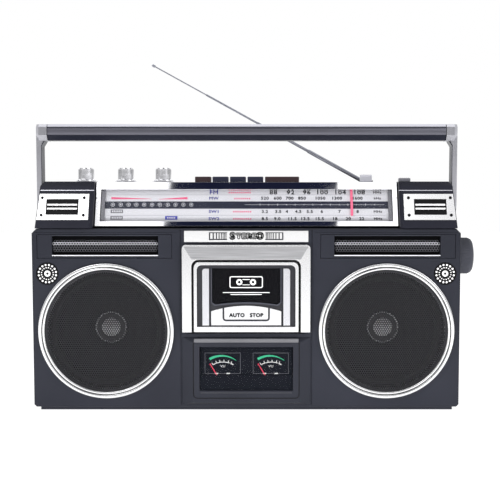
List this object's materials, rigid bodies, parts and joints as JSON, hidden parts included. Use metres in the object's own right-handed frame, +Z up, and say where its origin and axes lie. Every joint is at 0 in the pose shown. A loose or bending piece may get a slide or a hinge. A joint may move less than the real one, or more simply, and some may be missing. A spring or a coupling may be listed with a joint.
{
  "type": "boombox",
  "caption": "Portable radio cassette recorder with loudspeakers, a cassette door, level meters, tuning dial, piano keys, folding handle and telescopic antenna.",
  "frame": {"origin": "centre of the whole object's box in plan, on the surface that the plinth stands on", "axes": "+X to the object's right as seen from its front, along its length; +Y towards its back; +Z up"},
  "size_m": [0.4602, 0.1266, 0.3685],
  "materials": {
    "cabinet_plastic": "satin moulded, very dark blue-grey",
    "trim_plastic": "fine satin",
    "silver_trim": "fine brushed, bright",
    "chrome_trim": "polished plating",
    "scale_print": "printed silver-white scale",
    "clear_window": "clear moulded acrylic",
    "smoked_window": "smoked moulded acrylic",
    "grille_black": "matte black punched sheet",
    "key_navy": "satin dark navy",
    "pointer_red": "red acrylic",
    "cone_paper": "black pressed paper",
    "zinc_steel": "zinc plated",
    "circuit_board": "phenolic board",
    "belt_rubber": "matte",
    "brass": "turned, brass plated"
  },
  "bodies": {
    "cabinet": {"deck_surround": "silver_trim", "dial_bezel": "chrome_trim", "dial_scale": "scale_print", "dial_window": "clear_window", "drive_belt": "belt_rubber", "front_cabinet": "cabinet_plastic", "main_board": "circuit_board", "mains_inlet": "trim_plastic", "meter_frame": "cabinet_plastic", "meter_window": "smoked_window", "rear_cabinet": "cabinet_plastic", "slot_grille_left": "grille_black", "slot_grille_right": "grille_black", "speaker_grille_left": "grille_black", "speaker_grille_right": "grille_black", "speaker_ring_left": "chrome_trim", "speaker_ring_right": "chrome_trim", "tape_deck_chassis": "zinc_steel", "tape_motor": "zinc_steel", "top_panel": "silver_trim", "transformer": "zinc_steel", "tweeter_housing_left": "cabinet_plastic", "tweeter_housing_right": "cabinet_plastic", "tweeter_plate_left": "silver_trim", "tweeter_plate_right": "silver_trim", "vu_meter_unit": "trim_plastic", "woofer_basket_left": "zinc_steel", "woofer_basket_right": "zinc_steel"},
    "handle": {"handle_frame": "silver_trim", "handle_grip": "trim_plastic"},
    "door": {"cassette_door": "silver_trim", "door_window": "smoked_window", "cassette_holder": "trim_plastic"},
    "battery_lid": {"battery_door": "cabinet_plastic"},
    "volume": {"volume_knob": "silver_trim"},
    "balance": {"balance_knob": "silver_trim"},
    "tone": {"tone_knob": "silver_trim"},
    "tuning": {"tuning_knob": "cabinet_plastic"},
    "pointer": {"dial_pointer": "pointer_red"},
    "record": {"record_key": "key_navy"},
    "rewind": {"rewind_key": "key_navy"},
    "forward": {"forward_key": "key_navy"},
    "stop": {"stop_key": "key_navy"},
    "play": {"play_key": "key_navy"},
    "band": {"band_switch": "silver_trim"},
    "function": {"function_switch": "trim_plastic"},
    "turret": {"antenna_turret": "silver_trim"},
    "mast_1": {"antenna_section_1": "chrome_trim"},
    "mast_2": {"antenna_section_2": "chrome_trim"},
    "mast_3": {"antenna_section_3": "chrome_trim"},
    "mast_4": {"antenna_section_4": "chrome_trim"},
    "needle_left": {"vu_needle_left": "pointer_red"},
    "needle_right": {"vu_needle_right": "pointer_red"},
    "cone_left": {"woofer_cone_left": "cone_paper"},
    "cone_right": {"woofer_cone_right": "cone_paper"},
    "flywheel": {"capstan_flywheel": "brass"},
    "pulley": {"motor_pulley": "brass"},
    "roller": {"pinch_roller": "belt_rubber"},
    "reel_left": {"reel_spindle_left": "trim_plastic"},
    "reel_right": {"reel_spindle_right": "trim_plastic"}
  },
  "joints": [
    {"name": "handle_fold", "type": "hinge", "parent": "cabinet", "child": "handle", "pos_m": [-0.00815, -0.0087, 0.212], "axis": [1, 0, 0], "range_deg": [-25, 90]},
    {"name": "door_swing", "type": "hinge", "parent": "cabinet", "child": "door", "pos_m": [-0.00815, -0.0577, 0.0845], "axis": [1, 0, 0], "range_deg": [0, 35], "stiffness_Nm_per_rad": 0.02, "springref_deg": -34.38},
    {"name": "battery_lid_swing", "type": "hinge", "parent": "cabinet", "child": "battery_lid", "pos_m": [-0.00815, 0.0621, 0.012], "axis": [-1, 0, 0], "range_deg": [0, 75]},
    {"name": "volume_turn", "type": "hinge", "parent": "cabinet", "child": "volume", "pos_m": [-0.17945, -0.0067, 0.2365], "axis": [0, 0, 1], "range_deg": [-140, 140]},
    {"name": "balance_turn", "type": "hinge", "parent": "cabinet", "child": "balance", "pos_m": [-0.13715, -0.0067, 0.236], "axis": [0, 0, 1], "range_deg": [-140, 140]},
    {"name": "tone_turn", "type": "hinge", "parent": "cabinet", "child": "tone", "pos_m": [-0.09715, -0.0067, 0.236], "axis": [0, 0, 1], "range_deg": [-140, 140]},
    {"name": "tuning_turn", "type": "hinge", "parent": "cabinet", "child": "tuning", "pos_m": [0.21235, -0.0167, 0.1585], "axis": [1, 0, 0], "range_deg": [-1300, 140]},
    {"name": "pointer_travel", "type": "slide", "parent": "cabinet", "child": "pointer", "axis": [1, 0, 0], "range_m": [-0.0915, 0.01]},
    {"name": "record_press", "type": "hinge", "parent": "cabinet", "child": "record", "pos_m": [-0.05515, 0.0273, 0.226], "axis": [1, 0, 0], "range_deg": [0, 8.5], "stiffness_Nm_per_rad": 0.5, "springref_deg": -6.88},
    {"name": "rewind_press", "type": "hinge", "parent": "cabinet", "child": "rewind", "pos_m": [-0.0365, 0.0273, 0.226], "axis": [1, 0, 0], "range_deg": [0, 8.5], "stiffness_Nm_per_rad": 0.5, "springref_deg": -6.88},
    {"name": "forward_press", "type": "hinge", "parent": "cabinet", "child": "forward", "pos_m": [-0.01785, 0.0273, 0.226], "axis": [1, 0, 0], "range_deg": [0, 8.5], "stiffness_Nm_per_rad": 0.5, "springref_deg": -6.88},
    {"name": "stop_press", "type": "hinge", "parent": "cabinet", "child": "stop", "pos_m": [0.0008, 0.0273, 0.226], "axis": [1, 0, 0], "range_deg": [0, 8.5], "stiffness_Nm_per_rad": 0.5, "springref_deg": -6.88},
    {"name": "play_press", "type": "hinge", "parent": "cabinet", "child": "play", "pos_m": [0.0292, 0.0273, 0.226], "axis": [1, 0, 0], "range_deg": [0, 8.5], "stiffness_Nm_per_rad": 0.5, "springref_deg": -6.88},
    {"name": "band_slide", "type": "slide", "parent": "cabinet", "child": "band", "axis": [1, 0, 0], "range_m": [-0.012, 0.006]},
    {"name": "function_slide", "type": "slide", "parent": "cabinet", "child": "function", "axis": [1, 0, 0], "range_m": [0, 0.012]},
    {"name": "antenna_swivel", "type": "hinge", "parent": "cabinet", "child": "turret", "pos_m": [0.12755, 0.0503, 0.2346], "axis": [0, 0, 1], "range_deg": [-180, 20]},
    {"name": "antenna_tilt", "type": "hinge", "parent": "turret", "child": "mast_1", "pos_m": [0.12755, 0.0503, 0.2346], "axis": [0, 1, 0], "range_deg": [-28.6, 60]},
    {"name": "mast_2_slide", "type": "slide", "parent": "mast_1", "child": "mast_2", "axis": [-0.8771, 0, 0.4802], "range_m": [-0.0605, 0]},
    {"name": "mast_3_slide", "type": "slide", "parent": "mast_2", "child": "mast_3", "axis": [-0.8771, 0, 0.4802], "range_m": [-0.0605, 0]},
    {"name": "mast_4_slide", "type": "slide", "parent": "mast_3", "child": "mast_4", "axis": [-0.8771, 0, 0.4802], "range_m": [-0.0605, 0]},
    {"name": "needle_left_swing", "type": "hinge", "parent": "cabinet", "child": "needle_left", "pos_m": [-0.03295, -0.0585, 0.0277], "axis": [0, 1, 0], "range_deg": [0, 62], "stiffness_Nm_per_rad": 0.00005, "springref_deg": -28.65},
    {"name": "cone_left_stroke", "type": "slide", "parent": "cabinet", "child": "cone_left", "axis": [0, -1, 0], "range_m": [-0.0015, 0.0015], "stiffness_N_per_m": 2500},
    {"name": "needle_right_swing", "type": "hinge", "parent": "cabinet", "child": "needle_right", "pos_m": [0.01665, -0.0585, 0.0277], "axis": [0, 1, 0], "range_deg": [0, 62], "stiffness_Nm_per_rad": 0.00005, "springref_deg": -28.65},
    {"name": "cone_right_stroke", "type": "slide", "parent": "cabinet", "child": "cone_right", "axis": [0, -1, 0], "range_m": [-0.0015, 0.0015], "stiffness_N_per_m": 2500},
    {"name": "flywheel_spin", "type": "hinge", "parent": "cabinet", "child": "flywheel", "pos_m": [0.01285, -0.0327, 0.137], "axis": [0, 1, 0], "continuous": true},
    {"name": "pulley_spin", "type": "hinge", "parent": "cabinet", "child": "pulley", "pos_m": [0.02685, -0.0302, 0.1], "axis": [0, 1, 0], "continuous": true},
    {"name": "roller_spin", "type": "hinge", "parent": "cabinet", "child": "roller", "pos_m": [0.01285, -0.0492, 0.14505], "axis": [0, 1, 0], "continuous": true},
    {"name": "reel_left_spin", "type": "hinge", "parent": "cabinet", "child": "reel_left", "pos_m": [-0.0294, -0.0387, 0.1235], "axis": [0, 1, 0], "continuous": true},
    {"name": "reel_right_spin", "type": "hinge", "parent": "cabinet", "child": "reel_right", "pos_m": [0.0131, -0.0387, 0.1235], "axis": [0, 1, 0], "continuous": true}
  ],
  "couplings": [
    {"joint": "pointer_travel", "follows": "tuning_turn", "m_per_rad": 0.004},
    {"joint": "pulley_spin", "follows": "flywheel_spin", "ratio": 5},
    {"joint": "roller_spin", "follows": "flywheel_spin", "ratio": -0.1923}
  ]
}
